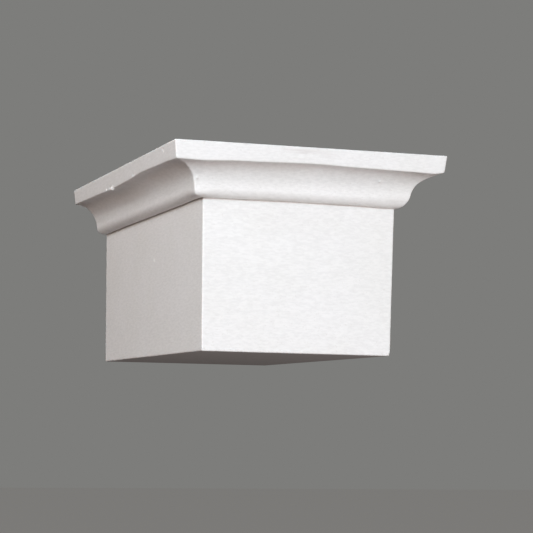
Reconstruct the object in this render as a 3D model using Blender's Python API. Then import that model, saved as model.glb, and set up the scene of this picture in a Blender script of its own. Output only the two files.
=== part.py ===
# Dentil block: a tapered rectangular block that sits under an eave or a cornice shelf, with a crown moulding
# returned round its front and both sides. It is moulded in one piece and primed white.
# Metres, +Z up. The front faces -Y, and the back, at +Y, is cut flat where the block meets the wall.
# The origin is the centre of the whole width and depth, at the level of the underside.

from math import asin, cos, pi, radians, sin, tan

import bmesh
import bpy
from mathutils import Vector

# Block
BODY_WIDTH = 0.1524           # across the front, just under the moulding
BODY_DEPTH = 0.3048           # from the front face to the cut back
BODY_HEIGHT = 0.113           # from the underside up to the moulding
BODY_TAPER = 0.0016           # how far the front and each side draw in, down to the underside

# Crown moulding: from the bottom up a narrow soffit, a convex round, a concave sweep and a plain band
CROWN_PROJECTION = 0.029      # from the block's face out to the foot of the band
SOFFIT_WIDTH = 0.0022         # flat strip beside the block, before the round starts
ROUND_RADIUS = 0.007          # convex round at the foot of the moulding
CURVE_HEIGHT = 0.0254         # height of the round and the sweep together
BAND_HEIGHT = 0.0127          # plain band along the top
BAND_LEAN = 0.0016            # how far the band's top stands out past its foot

# Small rounding that the mould and the primer leave on every outside edge
EDGE_RADIUS = 0.0008

# Chip off the lower right front corner: how far it reaches along each edge
CHIP_WIDTH = 0.0023
CHIP_DEPTH = 0.0026
CHIP_HEIGHT = 0.0042

# Facets along the curves
ROUND_STEPS = 10
SWEEP_STEPS = 14
EDGE_STEPS = 3
SHARP_ANGLE = radians(30)
CUT_TOLERANCE = 1e-7

PRIMER_COLOUR = (0.86, 0.86, 0.85, 1.0)
PRIMER_ROUGHNESS = 0.55

BAND_FOOT = BODY_HEIGHT + CURVE_HEIGHT
TOTAL_HEIGHT = BAND_FOOT + BAND_HEIGHT
HALF_WIDTH = BODY_WIDTH / 2


def clear_objects():
    for item in list(bpy.data.objects):
        bpy.data.objects.remove(item, do_unlink=True)


def arc(centre, radius, start, end, steps):
    """Points along an arc from one angle to another."""
    angles = [start + (end - start) * step / steps for step in range(steps + 1)]
    return [centre + radius * Vector((cos(angle), sin(angle))) for angle in angles]


def rounded_corner(before, corner, after):
    """A corner of the profile as a small arc, tangent to the two sides that meet there."""
    to_before = (before - corner).normalized()
    to_after = (after - corner).normalized()
    half_angle = to_before.angle(to_after) / 2
    setback = EDGE_RADIUS / tan(half_angle)
    centre = corner + (to_before + to_after).normalized() * EDGE_RADIUS / sin(half_angle)
    first = (corner + to_before * setback - centre).normalized()
    last = (corner + to_after * setback - centre).normalized()
    return [centre + EDGE_RADIUS * first.slerp(last, step / EDGE_STEPS) for step in range(EDGE_STEPS + 1)]


def crown_curve():
    """The round and the sweep, two arcs that run into each other, level at both ends."""
    run = CROWN_PROJECTION - SOFFIT_WIDTH
    both_radii = (CURVE_HEIGHT ** 2 + run ** 2) / (2 * CURVE_HEIGHT)
    sweep_radius = both_radii - ROUND_RADIUS
    tilt = asin((both_radii - CURVE_HEIGHT) / both_radii)
    round_centre = Vector((SOFFIT_WIDTH, BODY_HEIGHT + ROUND_RADIUS))
    sweep_centre = Vector((CROWN_PROJECTION, BAND_FOOT - sweep_radius))
    lower = arc(round_centre, ROUND_RADIUS, -pi / 2, -tilt, ROUND_STEPS)
    upper = arc(sweep_centre, sweep_radius, pi - tilt, pi / 2, SWEEP_STEPS)
    return lower + upper[1:-1]


def side_profile():
    """The side from the underside to the top, as points of (reach, height). Reach is how far a point stands
    out past the block's face at the moulding."""
    foot = Vector((-BODY_TAPER, 0))
    root = Vector((0, BODY_HEIGHT))
    band_foot = Vector((CROWN_PROJECTION, BAND_FOOT))
    band_top = Vector((CROWN_PROJECTION + BAND_LEAN, TOTAL_HEIGHT))
    inward = Vector((-HALF_WIDTH, 0))
    points = rounded_corner(foot + inward, foot, root)
    points.append(root)
    points += crown_curve()
    points += rounded_corner(band_foot + inward, band_foot, band_top)
    points += rounded_corner(band_foot, band_top, band_top + inward)
    return points


def front_of(profile):
    """Where the block's front face lies, so that the whole depth is centred on the origin."""
    return (max(reach for reach, _ in profile) - BODY_DEPTH) / 2


def at_back(reach, front):
    return HALF_WIDTH + reach, front + BODY_DEPTH


def at_corner(turn):
    """The place round a front corner's rounding, turn radians on from the side towards the front."""
    def place(reach, front):
        x = HALF_WIDTH + reach - EDGE_RADIUS * (1 - cos(turn))
        y = front - reach + EDGE_RADIUS * (1 - sin(turn))
        return x, y
    return place


def profile_chain(bm, profile, side, place):
    """The profile as a chain of edges, at one place round the block on its left (-1) or right (+1) side."""
    verts = []
    for reach, height in profile:
        x, y = place(reach, front_of(profile))
        verts.append(bm.verts.new((side * x, y, height)))
    edges = [bm.edges.new(pair) for pair in zip(verts, verts[1:])]
    return verts, edges


def carry_profile_round(bm, profile):
    """The profile is carried along the left side, across the front and back along the right side."""
    turns = [radians(90) * step / EDGE_STEPS for step in range(EDGE_STEPS + 1)]
    places = [at_back] + [at_corner(turn) for turn in turns]
    stations = [(-1, place) for place in places] + [(1, place) for place in reversed(places)]
    chains = [profile_chain(bm, profile, side, place) for side, place in stations]
    for (_, edges), (_, next_edges) in zip(chains, chains[1:]):
        bmesh.ops.bridge_loops(bm, edges=edges + next_edges)
    return [verts for verts, _ in chains]


def close_flat_faces(bm, chains):
    """The flat top, underside and cut back."""
    bm.faces.new([verts[-1] for verts in chains])
    bm.faces.new([verts[0] for verts in reversed(chains)])
    bm.faces.new(chains[-1] + chains[0][::-1])


def chip_corner(bm, front):
    """A slanted break across the lower right front corner."""
    corner = Vector((HALF_WIDTH - BODY_TAPER, front + BODY_TAPER, 0))
    outward = Vector((1 / CHIP_WIDTH, -1 / CHIP_DEPTH, -1 / CHIP_HEIGHT)).normalized()
    highest = corner + Vector((0, 0, CHIP_HEIGHT))
    everything = bm.verts[:] + bm.edges[:] + bm.faces[:]
    bmesh.ops.bisect_plane(bm, geom=everything, dist=CUT_TOLERANCE, plane_co=highest, plane_no=outward,
                           clear_outer=True)
    bmesh.ops.contextual_create(bm, geom=[edge for edge in bm.edges if edge.is_boundary])


def make_block():
    profile = side_profile()
    bm = bmesh.new()
    close_flat_faces(bm, carry_profile_round(bm, profile))
    chip_corner(bm, front_of(profile))
    bmesh.ops.recalc_face_normals(bm, faces=bm.faces[:])
    mesh = bpy.data.meshes.new("dentil_block")
    bm.to_mesh(mesh)
    bm.free()
    mesh.shade_smooth()
    mesh.set_sharp_from_angle(angle=SHARP_ANGLE)
    mesh.materials.append(primed_foam())
    block = bpy.data.objects.new("dentil_block", mesh)
    bpy.context.scene.collection.objects.link(block)


def primed_foam():
    """Dense moulded polyurethane foam under a matt white primer."""
    material = bpy.data.materials.new("primed_moulded_foam")
    material.use_nodes = True
    shader = material.node_tree.nodes["Principled BSDF"]
    shader.inputs["Base Color"].default_value = PRIMER_COLOUR
    shader.inputs["Roughness"].default_value = PRIMER_ROUGHNESS
    shader.inputs["Metallic"].default_value = 0.0
    return material


clear_objects()
make_block()
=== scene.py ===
from math import asin, exp, pi, radians

import bmesh
import bpy
from mathutils import Matrix, Vector, noise


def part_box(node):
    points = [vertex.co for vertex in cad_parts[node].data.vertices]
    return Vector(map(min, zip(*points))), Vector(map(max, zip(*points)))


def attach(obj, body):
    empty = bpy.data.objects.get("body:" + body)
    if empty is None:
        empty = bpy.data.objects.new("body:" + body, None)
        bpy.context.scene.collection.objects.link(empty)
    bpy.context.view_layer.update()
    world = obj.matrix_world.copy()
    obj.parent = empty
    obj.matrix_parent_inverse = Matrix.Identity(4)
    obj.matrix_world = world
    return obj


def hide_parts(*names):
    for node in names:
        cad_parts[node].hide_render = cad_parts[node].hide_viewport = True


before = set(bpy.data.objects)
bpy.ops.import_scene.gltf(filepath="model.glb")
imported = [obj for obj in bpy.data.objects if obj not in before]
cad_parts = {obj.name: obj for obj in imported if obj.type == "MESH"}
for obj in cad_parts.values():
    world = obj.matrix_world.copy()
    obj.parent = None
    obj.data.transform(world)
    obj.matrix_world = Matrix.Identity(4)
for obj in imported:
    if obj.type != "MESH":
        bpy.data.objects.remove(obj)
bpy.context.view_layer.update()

MM = 0.001


# Dentil block: a tapered block with a crown moulding returned round its front and both sides, to go under a
# soffit. It is dense polyurethane foam, moulded in one piece, primed white at the factory and rubbed down by
# hand. It is fixed by its flat back and top, with adhesive and screws.
BODY_WIDTH = 152.4 * MM
BODY_DEPTH = 304.8 * MM
BODY_HEIGHT = 113.0 * MM
BODY_TAPER = 1.6 * MM
CROWN_PROJECTION = 29.0 * MM
SOFFIT_WIDTH = 2.2 * MM
ROUND_RADIUS = 7.0 * MM
CURVE_HEIGHT = 25.4 * MM
BAND_HEIGHT = 12.7 * MM
BAND_LEAN = 1.6 * MM
EDGE_RADIUS = 0.8 * MM
QUIRK_WIDTH = 0.5 * MM        # the fine dark line where the moulding springs from the block
QUIRK_DEPTH = 0.8 * MM
ROUND_STEPS = 10
SWEEP_STEPS = 20
EDGE_SEGMENTS = 3
MESH_SPACING = 1.5 * MM
NEAR = 0.02 * MM

_, block_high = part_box("dentil_block")
HALF_WIDTH = BODY_WIDTH / 2
BACK = block_high.y
FRONT = BACK - BODY_DEPTH
TOTAL_HEIGHT = block_high.z
BAND_FOOT = BODY_HEIGHT + CURVE_HEIGHT


def at_profile(reach, height):
    """A point of the left side's profile, reach out from the block's face, on the plane of the back."""
    return Vector((-HALF_WIDTH - reach, BACK, height))


def draw_straight(bm, pen, reach, height):
    """The profile runs straight on from the pen to a point."""
    pen = bmesh.ops.extrude_vert_indiv(bm, verts=[pen])["verts"][0]
    pen.co = at_profile(reach, height)
    return pen


def draw_arc(bm, pen, reach, height, angle, steps):
    """The profile turns from the pen about a centre, steps times."""
    swept = bmesh.ops.spin(bm, geom=[pen], cent=at_profile(reach, height), axis=(0, 1, 0), angle=angle,
                           steps=steps, use_merge=False)
    return next(item for item in swept["geom_last"] if isinstance(item, bmesh.types.BMVert))


def draw_profile(bm):
    """The left side from the underside to the top: the tapered face, the quirk, the round, the sweep and the
    band."""
    run = CROWN_PROJECTION - SOFFIT_WIDTH
    both_radii = (CURVE_HEIGHT ** 2 + run ** 2) / (2 * CURVE_HEIGHT)
    sweep_radius = both_radii - ROUND_RADIUS
    quarter = pi / 2 - asin((both_radii - CURVE_HEIGHT) / both_radii)
    pen = bm.verts.new(at_profile(-BODY_TAPER, 0))
    pen = draw_straight(bm, pen, 0, BODY_HEIGHT)
    pen = draw_straight(bm, pen, 0, BODY_HEIGHT + QUIRK_DEPTH)
    pen = draw_straight(bm, pen, QUIRK_WIDTH, BODY_HEIGHT + QUIRK_DEPTH)
    pen = draw_straight(bm, pen, QUIRK_WIDTH, BODY_HEIGHT)
    pen = draw_straight(bm, pen, SOFFIT_WIDTH, BODY_HEIGHT)
    pen = draw_arc(bm, pen, SOFFIT_WIDTH, BODY_HEIGHT + ROUND_RADIUS, quarter, ROUND_STEPS)
    pen = draw_arc(bm, pen, CROWN_PROJECTION, BAND_FOOT - sweep_radius, -quarter, SWEEP_STEPS)
    draw_straight(bm, pen, CROWN_PROJECTION + BAND_LEAN, TOTAL_HEIGHT)


def run_profile(bm, chain, place):
    """The profile is run on to its next place round the block, which gives one face of the block."""
    grown = bmesh.ops.extrude_edge_only(bm, edges=chain)["geom"]
    verts = {item for item in grown if isinstance(item, bmesh.types.BMVert)}
    for vert in verts:
        vert.co = place(vert.co)
    return [item for item in grown if isinstance(item, bmesh.types.BMEdge) and set(item.verts) <= verts]


def in_plane(element, axis, value):
    """Whether an edge or a face lies whole in one plane, square to an axis."""
    return all(abs(vert.co[axis] - value) < NEAR for vert in element.verts)


FLATS = ((2, TOTAL_HEIGHT), (2, 0), (1, BACK))


def fill_flats(bm):
    """The flat top, underside and back."""
    for axis, value in FLATS:
        outline = [edge for edge in bm.edges if in_plane(edge, axis, value)]
        bmesh.ops.contextual_create(bm, geom=outline)


def open_flats(bm):
    flats = [face for face in bm.faces if any(in_plane(face, axis, value) for axis, value in FLATS)]
    bmesh.ops.delete(bm, geom=flats, context="FACES_ONLY")


def close_back_outline(bm):
    for height in (0, TOTAL_HEIGHT):
        ends = [vert for vert in bm.verts if abs(vert.co.y - BACK) < NEAR and abs(vert.co.z - height) < NEAR]
        bm.edges.new(ends)


def ease_arrises(bm, mitres):
    """The mitres, the foot and both edges of the band, a little round from the mould and the primer."""
    level = [edge for edge in bm.edges if not in_plane(edge, 1, BACK)
             and any(in_plane(edge, 2, height) for height in (0, BAND_FOOT, TOTAL_HEIGHT))]
    bmesh.ops.bevel(bm, geom=mitres + level, offset=EDGE_RADIUS, offset_type="OFFSET", segments=EDGE_SEGMENTS,
                    profile=0.5, affect="EDGES", clamp_overlap=False, material=-1)


def cut_up(bm, axis, longer_than):
    """Long edges along an axis are cut evenly, so that the faces can carry their relief."""
    long_edges = []
    for edge in bm.edges:
        run = edge.verts[1].co - edge.verts[0].co
        if abs(run[axis]) > longer_than and not (in_plane(edge, 1, BACK) and axis == 0):
            long_edges.append(edge)
    cuts = round(max(edge.calc_length() for edge in long_edges) / MESH_SPACING) - 1
    bmesh.ops.subdivide_edges(bm, edges=long_edges, cuts=cuts, use_grid_fill=True)


PRIMED, TRIMMED, DUST_AND_PAINTED_SHADE = range(3)


def finish_faces(bm):
    """Which finish each face has: the trimmed back and top, and the dust and painted shade in the line under
    the moulding.
    """
    for face in bm.faces:
        middle = face.calc_center_median()
        reach = max(abs(middle.x) - HALF_WIDTH, FRONT - middle.y)
        if in_plane(face, 1, BACK) or in_plane(face, 2, TOTAL_HEIGHT):
            face.material_index = TRIMMED
        # The quirk's faces take the brown finish: dust, and painted shade for the crevice's shadow.
        elif reach < QUIRK_WIDTH + NEAR and BODY_HEIGHT - NEAR < middle.z < BODY_HEIGHT + QUIRK_DEPTH + NEAR:
            face.material_index = DUST_AND_PAINTED_SHADE


def model_block():
    bm = bmesh.new()
    draw_profile(bm)
    back_left = bm.edges[:]
    mitre_left = run_profile(bm, back_left, lambda co: Vector((co.x, FRONT + HALF_WIDTH + co.x, co.z)))
    mitre_right = run_profile(bm, mitre_left, lambda co: Vector((-co.x, co.y, co.z)))
    run_profile(bm, mitre_right, lambda co: Vector((co.x, BACK, co.z)))
    close_back_outline(bm)
    fill_flats(bm)
    ease_arrises(bm, mitre_left + mitre_right)
    open_flats(bm)
    cut_up(bm, 0, BODY_WIDTH / 2)
    cut_up(bm, 1, BODY_DEPTH / 2)
    cut_up(bm, 2, BODY_HEIGHT / 2)
    cut_up(bm, 2, BAND_HEIGHT / 2)
    fill_flats(bm)
    finish_faces(bm)
    bmesh.ops.recalc_face_normals(bm, faces=bm.faces[:])
    return bm


# Hand finishing leaves the faces slightly uneven: slow waves from the mould, then the rubbing down, then the
# primer's own orange peel. Each is a wavelength and a depth, and all of it is taken inwards.
UNEVENNESS = ((55 * MM, 0.14 * MM), (13 * MM, 0.05 * MM), (4.5 * MM, 0.02 * MM))


def hollow_at(co):
    depth = 0
    for wavelength, amount in UNEVENNESS:
        depth += amount * (0.5 + 0.5 * noise.noise(co / wavelength))
    return depth


def rub_down(bm):
    """Takes the unevenness off the faces. The flats stay in their planes."""
    bm.normal_update()
    moves = []
    for vert in bm.verts:
        move = -hollow_at(vert.co) * vert.normal
        for axis, value in FLATS:
            if abs(vert.co[axis] - value) < NEAR:
                move[axis] = 0
        moves.append((vert, move))
    for vert, move in moves:
        vert.co += move


# The moulding isn't true. The lower edge of the band (foot) and the line where the moulding springs from the
# block (root) wander, and the round hangs fuller at the near mitre (belly). Each pair is a place along the
# front, left to right, or along a side, front to back, and how far it hangs too low there, in mm.
FRONT_FOOT = ((-106.0, 1.3), (-85.0, 1.6), (-55.0, 0.5), (0.0, -0.5), (45.0, 0.5), (75.0, 1.0), (96.0, 1.5),
              (106.0, 0.4))
LEFT_FOOT = ((-167.0, 1.3), (-130.0, 0.2), (-60.0, -0.5), (-15.0, 0.9), (35.0, 1.5), (100.0, 0.7),
             (167.0, 0.0))
RIGHT_FOOT = ((-167.0, 0.2), (167.0, 0.0))
FRONT_ROOT = ((-84.0, 0.0), (-10.0, -0.3), (40.0, 0.0), (72.0, 0.8), (84.0, 0.4))
LEFT_ROOT = ((-145.0, 0.0), (-120.0, -0.6), (-80.0, -0.3), (90.0, -0.3), (160.0, 0.0))
RIGHT_ROOT = ((-145.0, 0.4), (-110.0, 0.0))
FRONT_BELLY = ((-86.0, 1.7), (-66.0, 0.0))
LEFT_BELLY = ((-146.0, 1.7), (-122.0, 0.0))
RIGHT_BELLY = ((0.0, 0.0),)
LINE_FADE = 12 * MM           # how far down the profile a line's drop is felt


def between(value, low, high):
    """A smooth step from 0 at low to 1 at high."""
    part = min(1, max(0, (value - low) / (high - low)))
    return part * part * (3 - 2 * part)


def bell(distance, half_width):
    return exp(-(distance / half_width) ** 2)


def drop_at(line, place):
    drop = line[0][1]
    for (start, before), (end, after) in zip(line, line[1:]):
        drop += (after - before) * between(place, start * MM, end * MM)
    return drop * MM


def drop_round(co, front, left, right):
    """The drop of a line at a point, which is on the front, the left or the right of the mitres."""
    if abs(co.x) - HALF_WIDTH < FRONT - co.y:
        return drop_at(front, co.x)
    return drop_at(left if co.x < 0 else right, co.y)


def set_out_by_hand(bm):
    """Shifts the moulding's lines and its round up and down, and eases what lies beside them."""
    for vert in bm.verts:
        height = vert.co.z
        foot = between(height, BAND_FOOT - LINE_FADE, BAND_FOOT)
        foot = min(foot, (TOTAL_HEIGHT - height) / BAND_HEIGHT)
        root = between(height, BODY_HEIGHT - LINE_FADE, BODY_HEIGHT)
        root *= 1 - between(height, BODY_HEIGHT + MM, BAND_FOOT)
        belly = between(height, BODY_HEIGHT, BODY_HEIGHT + ROUND_RADIUS / 2)
        belly *= 1 - between(height, BODY_HEIGHT + ROUND_RADIUS, BODY_HEIGHT + 2 * ROUND_RADIUS)
        vert.co.z -= foot * drop_round(vert.co, FRONT_FOOT, LEFT_FOOT, RIGHT_FOOT)
        vert.co.z -= root * drop_round(vert.co, FRONT_ROOT, LEFT_ROOT, RIGHT_ROOT)
        vert.co.z -= belly * drop_round(vert.co, FRONT_BELLY, LEFT_BELLY, RIGHT_BELLY)


# The moulding's round was rubbed down harder at the front's right end: how deep, how far along, and from what
# height down.
RUB_DEPTH = 1.3 * MM
RUB_LENGTH = 25 * MM
RUB_TOP = BODY_HEIGHT + 8.5 * MM
RUB_FULL = BODY_HEIGHT + 3 * MM


def rub_right_end(bm):
    for vert in bm.verts:
        right = vert.co.x - HALF_WIDTH
        front = FRONT - vert.co.y
        share = min(1, max(0, right, front) / SOFFIT_WIDTH) * bell(right - front, RUB_LENGTH)
        level = between(vert.co.z, BODY_HEIGHT - MM, BODY_HEIGHT)
        level *= 1 - between(vert.co.z, RUB_FULL, RUB_TOP)
        share *= level
        vert.co += share * RUB_DEPTH * Vector((-1, 1, 0))


# Marks of the mould, of handling and of shipping. Each is a place, a radius, and a height out of the face, in
# mm, and the height is less than nothing for a pit. They are modelled, because the light on them shows them.
MARKS = (
    (-105.3, 36.8, 138.4, 1.2, -1.8),       # pit in the left band's lower edge
    (-104.9, 28.6, 137.3, 1.5, 1.7),        # crumb of foam beside it
    (-105.2, 49.4, 138.2, 1.1, 0.9),        # smaller crumb
    (-104.9, 18.2, 137.0, 1.0, -0.9),       # nick on the crumb's other side
    (-105.2, -41.2, 138.9, 1.8, -1.0),      # nick in the same edge
    (-105.1, -45.0, 138.8, 0.9, 0.8),
    (-76.3, 12.0, 110.1, 0.8, 0.8),         # crumbs under the moulding, on the left
    (-76.3, 128.8, 112.0, 0.9, 0.8),
    (58.2, -150.9, 131.1, 1.0, 0.9),        # bubble in the front's sweep
    (-84.3, -148.0, 126.4, 0.9, 0.8),       # specks and a short scratch beside the near mitre
    (-83.0, -147.4, 123.4, 0.6, -0.7),
    (-82.6, -146.9, 121.8, 0.6, -0.8),
    (-82.4, -146.4, 120.3, 0.6, -0.6),
    (-81.9, -145.0, 116.4, 0.8, 0.6),
    (91.1, -162.1, 136.6, 0.6, -1.6),       # two nicks under the band, at the front's right end
    (94.2, -163.6, 136.7, 0.6, -1.6),
    (-75.7, 2.5, 76.8, 1.1, 0.4),           # light spots on the left face
    (-75.8, -3.5, 84.4, 0.9, 0.3),
    (-106.3, -133.1, 147.4, 1.3, -0.5),     # rub on the left band
)
MARK_CUTS = 4
MARK_REACH = 2.2              # how many radii out a mark's relief runs


def make_marks(bm):
    for x, y, z, radius, height in MARKS:
        centre = Vector((x, y, z)) * MM
        reach = MARK_REACH * radius * MM
        close = [edge for edge in bm.edges if (edge.verts[0].co - centre).length < reach
                 and (edge.verts[1].co - centre).length < reach]
        bmesh.ops.subdivide_edges(bm, edges=close, cuts=MARK_CUTS, use_grid_fill=True)
        bm.normal_update()
        near = [vert for vert in bm.verts if (vert.co - centre).length < reach]
        moves = [height * MM * bell((vert.co - centre).length, radius * MM) * vert.normal for vert in near]
        for vert, move in zip(near, moves):
            vert.co += move


# The corner that was knocked off at the lower right of the front: how far the break reaches along each edge.
CHIP = Vector((2.3, 2.6, 4.2)) * MM
CHIP_GRAIN = 0.8 * MM
CHIP_ROUGHNESS = 0.5 * MM
CHIP_CUTS = 3
CUT_TOLERANCE = 0.0001 * MM
IN_BREAK = 0.999              # cosine of the most that a face of the break leans out of its plane
SHARP_ANGLE = radians(40)


def knock_off_corner(bm):
    """A slanted break across the lower right front corner, with the foam's coarse grain in it."""
    corner = Vector((HALF_WIDTH - BODY_TAPER, FRONT + BODY_TAPER, 0))
    outward = Vector((1 / CHIP.x, -1 / CHIP.y, -1 / CHIP.z)).normalized()
    bmesh.ops.bisect_plane(bm, geom=bm.verts[:] + bm.edges[:] + bm.faces[:], dist=CUT_TOLERANCE,
                           plane_co=corner + Vector((0, 0, CHIP.z)), plane_no=outward, clear_outer=True)
    rim = [edge for edge in bm.edges if edge.is_boundary]
    broken = bmesh.ops.contextual_create(bm, geom=rim)["faces"]
    spokes = [edge for vert in bmesh.ops.poke(bm, faces=broken)["verts"] for edge in vert.link_edges]
    bmesh.ops.subdivide_edges(bm, edges=spokes, cuts=CHIP_CUTS)
    bm.normal_update()
    inner = [vert for vert in bm.verts
             if all(face.normal.dot(outward) > IN_BREAK for face in vert.link_faces)]
    for vert in inner:
        vert.co -= CHIP_ROUGHNESS * (0.5 + noise.noise(vert.co / CHIP_GRAIN)) * outward


bm = model_block()
rub_right_end(bm)
set_out_by_hand(bm)
rub_down(bm)
make_marks(bm)
knock_off_corner(bm)
mesh = bpy.data.meshes.new("moulded_block")
bm.to_mesh(mesh)
bm.free()
mesh.set_sharp_from_angle(angle=SHARP_ANGLE)
for face in mesh.polygons:
    face.use_smooth = all(abs(face.center[axis] - value) > NEAR for axis, value in FLATS)
block = bpy.data.objects.new("moulded_block", mesh)
bpy.context.scene.collection.objects.link(block)


def linear(colour):
    """An sRGB hex colour as the linear values that a shader takes."""
    channels = [int(colour[start:start + 2], 16) / 255 for start in (0, 2, 4)]
    return tuple(c / 12.92 if c <= 0.04045 else ((c + 0.055) / 1.055) ** 2.4 for c in channels) + (1.0,)


def node(material, kind, settings=None, **links):
    """Adds a node to a material. Settings are its own options and its sockets' values, links its inputs."""
    made = material.node_tree.nodes.new(kind)
    for name, value in (settings or {}).items():
        if name in made.inputs:
            made.inputs[name].default_value = value
        else:
            setattr(made, name, value)
    for name, source in links.items():
        material.node_tree.links.new(source, made.inputs[name.replace("_", " ")])
    return made


def blend(material, share, first, second):
    """One colour laid over another by a share. Each colour is an sRGB hex or another node's output."""
    mixed = node(material, "ShaderNodeMix", {"data_type": "RGBA"})
    material.node_tree.links.new(share, mixed.inputs[0])
    for socket, colour in ((mixed.inputs[6], first), (mixed.inputs[7], second)):
        if isinstance(colour, str):
            socket.default_value = linear(colour)
        else:
            material.node_tree.links.new(colour, socket)
    return mixed.outputs[2]


def spread(material, value, low, high, to_low=0, to_high=1):
    """A value's range opened out to a new range, and held inside it."""
    ranged = node(material, "ShaderNodeMapRange", {"From Min": low, "From Max": high, "To Min": to_low,
                                                   "To Max": to_high}, Value=value)
    return ranged.outputs["Result"]


def grain(material, size, detail, stretch=(1, 1, 1)):
    """Noise whose lumps are about one size across, and that size times stretch along each axis."""
    place = node(material, "ShaderNodeTexCoord").outputs["Object"]
    scaled = node(material, "ShaderNodeMapping", {"Scale": [1 / part for part in stretch]}, Vector=place)
    lumps = node(material, "ShaderNodeTexNoise", {"Scale": 1 / size, "Detail": detail, "Roughness": 0.55},
                 Vector=scaled.outputs["Vector"])
    return lumps.outputs["Fac"]


def around(material, middle, reach):
    """1 at a place on the block, falling to 0 at a reach along each axis."""
    place = node(material, "ShaderNodeTexCoord").outputs["Object"]
    moved = node(material, "ShaderNodeMapping",
                 {"vector_type": "TEXTURE", "Location": middle, "Scale": reach}, Vector=place)
    return node(material, "ShaderNodeTexGradient", {"gradient_type": "SPHERICAL"},
                Vector=moved.outputs["Vector"]).outputs["Fac"]


def both(material, first, second):
    times = node(material, "ShaderNodeMath", {"operation": "MULTIPLY"})
    material.node_tree.links.new(first, times.inputs[0])
    material.node_tree.links.new(second, times.inputs[1])
    return times.outputs["Value"]


def new_finish(name):
    """A material with no shader yet."""
    material = bpy.data.materials.new(name)
    material.use_nodes = True
    material.node_tree.nodes.remove(material.node_tree.nodes["Principled BSDF"])
    return material


def close_finish(material, colour, roughness, height, depth):
    """Ends a material in its shader. The height field is as deep as the real grain."""
    relief = node(material, "ShaderNodeBump", {"Distance": depth}, Height=height)
    shader = node(material, "ShaderNodeBsdfPrincipled", Base_Color=colour, Roughness=roughness,
                  Normal=relief.outputs["Normal"])
    surface = material.node_tree.nodes["Material Output"].inputs["Surface"]
    material.node_tree.links.new(shader.outputs["BSDF"], surface)
    return material


# The grey rub along the front of the band, from handling.
SMEAR_MIDDLE = Vector((-10, -167, 146.5)) * MM
SMEAR_REACH = Vector((38, 8, 6)) * MM
SMEAR_GREY = "D9D6D4"


def primed_moulded_foam():
    """Factory primer, sprayed over foam from a mould and rubbed down. It reads as flat white, with faint
    level rubbing streaks, a faint pebble, a few specks, slow patches where the coat is thicker, and a grey
    rub on the band."""
    material = new_finish("primed_moulded_foam")
    rubbing = spread(material, grain(material, 1.4 * MM, 2, (3, 5, 1)), 0.35, 0.65)
    coat = spread(material, grain(material, 45 * MM, 2), 0.35, 0.65)
    white = blend(material, coat, blend(material, rubbing, "E4E4E2", "ECECEA"),
                  blend(material, rubbing, "E6E6E5", "EEEEED"))
    specks = spread(material, grain(material, 1.5 * MM, 1), 0.66, 0.76, 0, 0.35)
    white = blend(material, specks, white, "D2CFCA")
    streaks = spread(material, grain(material, 3.5 * MM, 3, (6, 1, 1)), 0.42, 0.66)
    rub = both(material, around(material, SMEAR_MIDDLE, SMEAR_REACH), streaks)
    white = blend(material, rub, white, SMEAR_GREY)
    dry = spread(material, grain(material, 9 * MM, 2), 0.3, 0.7, 0.5, 0.64)
    pebble = grain(material, 2.8 * MM, 3, (1.8, 1.8, 1))
    return close_finish(material, white, dry, pebble, 0.15 * MM)


def primed_trimmed_foam():
    """Foam that was cut flat with a band saw and then primed thin. The saw's level lines and small open pores
    show, and the coat is a little creamier."""
    material = new_finish("primed_trimmed_foam")
    lines = grain(material, 1.6 * MM, 2, (60, 60, 1))
    coat = spread(material, grain(material, 30 * MM, 3), 0.3, 0.7)
    cream = blend(material, coat, "DFDDD6", "E6E4DE")
    cream = blend(material, spread(material, lines, 0.5, 0.75, 0, 0.5), cream, "D3CFC5")
    pores = spread(material, grain(material, 1.1 * MM, 1), 0.64, 0.7)
    cream = blend(material, pores, cream, "B9B2A5")
    dry = spread(material, lines, 0.3, 0.7, 0.62, 0.78)
    return close_finish(material, cream, dry, lines, 0.12 * MM)


def primer_with_dust_and_painted_shade():
    """Unwiped primer: fine brown dust fills the line under the moulding, and painted shade darkens it more.
    """
    material = new_finish("primer_with_dust_and_painted_shade")
    dust = spread(material, grain(material, 5 * MM, 3), 0.3, 0.7)
    # These browns stand partly for dust and partly for painted shade in the crevice.
    brown = blend(material, dust, "948A80", "B3AA9F")
    dry = spread(material, dust, 0, 1, 0.75, 0.9)
    return close_finish(material, brown, dry, dust, 0.05 * MM)


for make in (primed_moulded_foam, primed_trimmed_foam, primer_with_dust_and_painted_shade):
    mesh.materials.append(make())
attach(block, "root")
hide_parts("dentil_block")


# Studio: a plain pale floor well below the block, because the camera looks up at it, a plain backdrop, soft
# boxes round the block, and a skylight over it.
FLOOR_DROP = 1.2
FLOOR_SIZE = 60.0

bm = bmesh.new()
bmesh.ops.create_grid(bm, x_segments=1, y_segments=1, size=FLOOR_SIZE / 2,
                      matrix=Matrix.Translation((0, 0, -FLOOR_DROP)))
mesh = bpy.data.meshes.new("floor")
bm.to_mesh(mesh)
bm.free()
floor = bpy.data.objects.new("floor", mesh)
bpy.context.scene.collection.objects.link(floor)
floor.visible_diffuse = False      # it throws no light up under the moulding, as in the photograph
floor.visible_glossy = False

paint = bpy.data.materials.new("pale_floor_paint")
paint.use_nodes = True
paint.node_tree.nodes["Principled BSDF"].inputs["Base Color"].default_value = linear("D6D4D0")
paint.node_tree.nodes["Principled BSDF"].inputs["Roughness"].default_value = 0.8
mesh.materials.append(paint)

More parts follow.
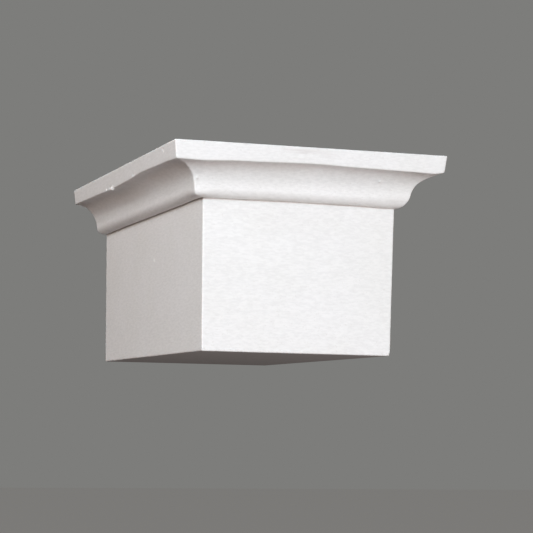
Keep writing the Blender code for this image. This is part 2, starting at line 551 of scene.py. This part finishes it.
world = bpy.data.worlds.new("studio_air")
bpy.context.scene.world = world
world.use_nodes = True
air = world.node_tree.nodes["Background"]
air.inputs["Color"].default_value = linear("ECE8E4")
air.inputs["Strength"].default_value = 0.01
backdrop = world.node_tree.nodes.new("ShaderNodeBackground")
backdrop.inputs["Color"].default_value = linear("7D7D7B")
seen = world.node_tree.nodes.new("ShaderNodeLightPath")
either = world.node_tree.nodes.new("ShaderNodeMixShader")
world.node_tree.links.new(seen.outputs["Is Camera Ray"], either.inputs["Fac"])
world.node_tree.links.new(air.outputs["Background"], either.inputs[1])
world.node_tree.links.new(backdrop.outputs["Background"], either.inputs[2])
world.node_tree.links.new(either.outputs["Shader"], world.node_tree.nodes["World Output"].inputs["Surface"])

LIGHT_DISTANCE = 2.3


def soft_box(name, bearing, elevation, power, colour, width=0.6, height=0.3):
    """A soft box aimed at the block. Its bearing goes round from the front towards the left, in degrees."""
    light = bpy.data.lights.new(name, "AREA")
    light.shape = "RECTANGLE"
    light.size = width
    light.size_y = height
    light.energy = power
    light.color = linear(colour)[:3]
    box = bpy.data.objects.new(name, light)
    heading = Matrix.Rotation(radians(-bearing), 3, "Z") @ Matrix.Rotation(radians(-elevation), 3, "X")
    outward = heading @ Vector((0, -1, 0))
    box.location = Vector((0, 0, TOTAL_HEIGHT / 2)) + LIGHT_DISTANCE * outward
    box.rotation_euler = outward.to_track_quat("Z", "Y").to_euler()
    box.visible_camera = False
    bpy.context.scene.collection.objects.link(box)


soft_box("key_front", 10, 12, 13.0, "DDF7FF")
soft_box("key_left", 40, 12, 19.1, "E6F5FF")
soft_box("high_left", 40, 28, 7.3, "FFEAEA")
soft_box("side_left", 70, 28, 10.4, "F2FBFF")
soft_box("level_left", 95, 12, 10.9, "FFDDC6")
soft_box("low_front", 10, -15, 18.7, "FFE7E3")
soft_box("low_right", -50, -15, 13.1, "FFFCF7")
soft_box("right", -105, 20, 14, "FFFFFF", 0.9, 0.6)
soft_box("rear", 190, 25, 18, "FFFFFF", 0.9, 0.6)

# The skylight falls straight down, so it lights the floor and the top, and leaves the sides as they are.
skylight = bpy.data.lights.new("skylight", "SUN")
skylight.energy = 0.95
skylight.angle = radians(6)
bpy.context.scene.collection.objects.link(bpy.data.objects.new("skylight", skylight))


# Camera: where the photograph was taken from, worked out from the block's own edges.
CAMERA_PLACE = (-0.46419, -1.33465 + FRONT, -0.05176)
HEADING = 0.3173
TILT_UP = 0.0823
ROLL = 0.0157
LENS = 127.76
SENSOR_WIDTH = 36.0
camera = bpy.data.objects.new("camera", bpy.data.cameras.new("camera"))
bpy.context.scene.collection.objects.link(camera)
camera.data.lens = LENS
camera.data.sensor_width = SENSOR_WIDTH
camera.matrix_world = (Matrix.Translation(CAMERA_PLACE) @ Matrix.Rotation(-HEADING, 4, "Z")
                       @ Matrix.Rotation(pi / 2 + TILT_UP, 4, "X") @ Matrix.Rotation(ROLL, 4, "Z"))
bpy.context.scene.camera = camera
bpy.context.scene.view_settings.view_transform = "Standard"
